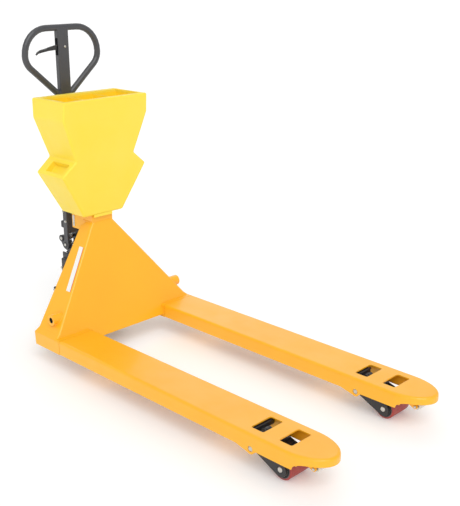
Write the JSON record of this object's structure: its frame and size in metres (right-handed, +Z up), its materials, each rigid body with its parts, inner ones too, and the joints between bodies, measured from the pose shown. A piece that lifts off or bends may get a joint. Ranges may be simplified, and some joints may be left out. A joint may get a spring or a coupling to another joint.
{
  "type": "pallet scale",
  "caption": "Hand pallet truck with load-cell weigh decks on its two forks, a steering pump handle and an indicator in a moulded housing above the bulkhead.",
  "frame": {"origin": "on the floor, on the centreline, under the middle of the bounding box (the steering axis is at x = -0.680)", "axes": "+X along the forks to their tips, +Y to the left fork, +Z up"},
  "size_m": [1.6465, 0.685, 1.2445],
  "materials": {
    "orange_paint": "glossy powder coat",
    "yellow_plastic": "moulded, lightly textured",
    "deep_yellow_plastic": "moulded",
    "black_paint": "satin",
    "grey_paint": "satin",
    "bright_steel": "turned",
    "chrome_rod": "polished",
    "spring_steel": "drawn wire",
    "red_urethane": "satin",
    "pale_nylon": "natural",
    "black_urethane": "satin",
    "cast_iron": "painted casting",
    "cell_alloy": "milled",
    "dark_plastic": "textured",
    "key_rubber": "moulded",
    "clear_window": "polished",
    "display_glass": "liquid crystal",
    "board_green": "solder mask",
    "cable_black": "jacketed"
  },
  "bodies": {
    "frame": {"main_frame": "orange_paint", "fork_beam_left": "orange_paint", "fork_beam_right": "orange_paint", "weigh_deck_left": "orange_paint", "weigh_deck_right": "orange_paint", "load_cell_front_left": "cell_alloy", "load_cell_front_right": "cell_alloy", "load_cell_rear_left": "cell_alloy", "load_cell_rear_right": "cell_alloy", "bracket_pin_left": "bright_steel", "bracket_pin_right": "bright_steel", "entry_pin_left": "bright_steel", "entry_pin_right": "bright_steel", "rocker_shaft": "bright_steel", "head_bearing": "bright_steel", "lift_ram": "chrome_rod", "housing_shell": "yellow_plastic", "housing_tray": "deep_yellow_plastic", "indicator_case": "dark_plastic", "battery_pack": "dark_plastic", "junction_box": "dark_plastic", "display_window": "clear_window", "display_panel": "display_glass", "indicator_board": "board_green", "load_cell_cable_left": "cable_black", "load_cell_cable_right": "cable_black"},
    "rocker": {"rocker_arm": "black_paint"},
    "push_rods": {"push_rod_left": "black_paint", "push_rod_right": "black_paint"},
    "pump_carriage": {"link_ring": "cast_iron"},
    "steer_unit": {"pump_body": "black_paint", "gland_nut": "bright_steel", "steer_axle": "bright_steel", "handle_pin": "bright_steel", "plunger_spring": "spring_steel"},
    "wheel_left": {"steer_wheel_left": "cast_iron", "steer_tyre_left": "black_urethane"},
    "wheel_right": {"steer_wheel_right": "cast_iron", "steer_tyre_right": "black_urethane"},
    "plunger": {"pump_plunger": "chrome_rod"},
    "release": {"release_lever": "black_paint"},
    "handle": {"handle_frame": "grey_paint", "trigger_pin": "bright_steel"},
    "cam": {"cam_roller": "bright_steel"},
    "trigger_lever": {"trigger": "black_paint"},
    "pull_rod": {"release_rod": "bright_steel"},
    "bracket_left": {"roller_bracket_left": "black_paint", "roller_axle_left": "bright_steel"},
    "roller_left": {"load_roller_left": "red_urethane"},
    "entry_left": {"entry_roller_left": "pale_nylon"},
    "bracket_right": {"roller_bracket_right": "black_paint", "roller_axle_right": "bright_steel"},
    "roller_right": {"load_roller_right": "red_urethane"},
    "entry_right": {"entry_roller_right": "pale_nylon"},
    "zero_button": {"zero_key": "key_rubber"},
    "tare_button": {"tare_key": "key_rubber"},
    "print_button": {"print_key": "key_rubber"},
    "power_button": {"power_key": "key_rubber"}
  },
  "joints": [
    {"name": "lift", "type": "slide", "parent": "frame", "child": "pump_carriage", "axis": [0, 0, -1], "range_m": [-0.042, 0.06]},
    {"name": "steer", "type": "hinge", "parent": "pump_carriage", "child": "steer_unit", "pos_m": [-0.67975, 0, 0.206], "axis": [0, 0, 1], "range_deg": [-36, 36]},
    {"name": "steer_wheel_spin_left", "type": "hinge", "parent": "steer_unit", "child": "wheel_left", "pos_m": [-0.67975, 0.08, 0.09], "axis": [0, 1, 0], "continuous": true},
    {"name": "steer_wheel_spin_right", "type": "hinge", "parent": "steer_unit", "child": "wheel_right", "pos_m": [-0.67975, -0.08, 0.09], "axis": [0, 1, 0], "continuous": true},
    {"name": "handle_tilt", "type": "hinge", "parent": "steer_unit", "child": "handle", "pos_m": [-0.78175, 0, 0.356], "axis": [0, -1, 0], "range_deg": [0, 85]},
    {"name": "cam_spin", "type": "hinge", "parent": "handle", "child": "cam", "pos_m": [-0.80575, 0, 0.38], "axis": [0, 1, 0], "continuous": true},
    {"name": "trigger_squeeze", "type": "hinge", "parent": "handle", "child": "trigger_lever", "pos_m": [-0.77625, 0.006, 1.16], "axis": [-1, 0, 0], "range_deg": [-12, 14]},
    {"name": "release_rod_pull", "type": "slide", "parent": "handle", "child": "pull_rod", "axis": [0, 0, 1], "range_m": [-0.0038, 0.0045]},
    {"name": "release_lever_swing", "type": "hinge", "parent": "steer_unit", "child": "release", "pos_m": [-0.67575, 0.048, 0.262], "axis": [0, 1, 0], "range_deg": [-8, 9]},
    {"name": "plunger_stroke", "type": "slide", "parent": "steer_unit", "child": "plunger", "axis": [0, 0, -1], "range_m": [0, 0.0459], "deforming": ["plunger_spring"]},
    {"name": "rocker_tilt", "type": "hinge", "parent": "frame", "child": "rocker", "pos_m": [-0.49475, 0, 0.183], "axis": [0, -1, 0], "range_deg": [-12.8, 17.4]},
    {"name": "push_rod_level", "type": "hinge", "parent": "rocker", "child": "push_rods", "pos_m": [-0.4972, 0, 0.12205], "axis": [0, -1, 0], "range_deg": [-17.4, 12.8]},
    {"name": "bracket_swing_left", "type": "hinge", "parent": "frame", "child": "bracket_left", "pos_m": [0.55725, 0.2625, 0.076], "axis": [0, 1, 0], "range_deg": [-26.7, 36.3]},
    {"name": "load_roller_spin_left", "type": "hinge", "parent": "bracket_left", "child": "roller_left", "pos_m": [0.65725, 0.2625, 0.0375], "axis": [0, 1, 0], "continuous": true},
    {"name": "entry_roller_spin_left", "type": "hinge", "parent": "frame", "child": "entry_left", "pos_m": [0.77025, 0.2625, 0.081], "axis": [0, 1, 0], "continuous": true},
    {"name": "bracket_swing_right", "type": "hinge", "parent": "frame", "child": "bracket_right", "pos_m": [0.55725, -0.2625, 0.076], "axis": [0, 1, 0], "range_deg": [-26.7, 36.3]},
    {"name": "load_roller_spin_right", "type": "hinge", "parent": "bracket_right", "child": "roller_right", "pos_m": [0.65725, -0.2625, 0.0375], "axis": [0, 1, 0], "continuous": true},
    {"name": "entry_roller_spin_right", "type": "hinge", "parent": "frame", "child": "entry_right", "pos_m": [0.77025, -0.2625, 0.081], "axis": [0, 1, 0], "continuous": true},
    {"name": "zero_key_press", "type": "slide", "parent": "frame", "child": "zero_button", "axis": [1, 0, 0], "range_m": [0, 0.001], "stiffness_N_per_m": 1500},
    {"name": "tare_key_press", "type": "slide", "parent": "frame", "child": "tare_button", "axis": [1, 0, 0], "range_m": [0, 0.001], "stiffness_N_per_m": 1500},
    {"name": "print_key_press", "type": "slide", "parent": "frame", "child": "print_button", "axis": [1, 0, 0], "range_m": [0, 0.001], "stiffness_N_per_m": 1500},
    {"name": "power_key_press", "type": "slide", "parent": "frame", "child": "power_button", "axis": [1, 0, 0], "range_m": [0, 0.001], "stiffness_N_per_m": 1500}
  ],
  "couplings": [
    {"joint": "release_rod_pull", "follows": "trigger_squeeze", "m_per_rad": 0.018},
    {"joint": "release_lever_swing", "follows": "trigger_squeeze", "ratio": 0.6},
    {"joint": "plunger_stroke", "follows": "handle_tilt", "m_per_rad": 0.0309},
    {"joint": "rocker_tilt", "follows": "lift", "rad_per_m": 5},
    {"joint": "push_rod_level", "follows": "lift", "rad_per_m": -5},
    {"joint": "bracket_swing_left", "follows": "lift", "rad_per_m": 10.5},
    {"joint": "bracket_swing_right", "follows": "lift", "rad_per_m": 10.5}
  ]
}
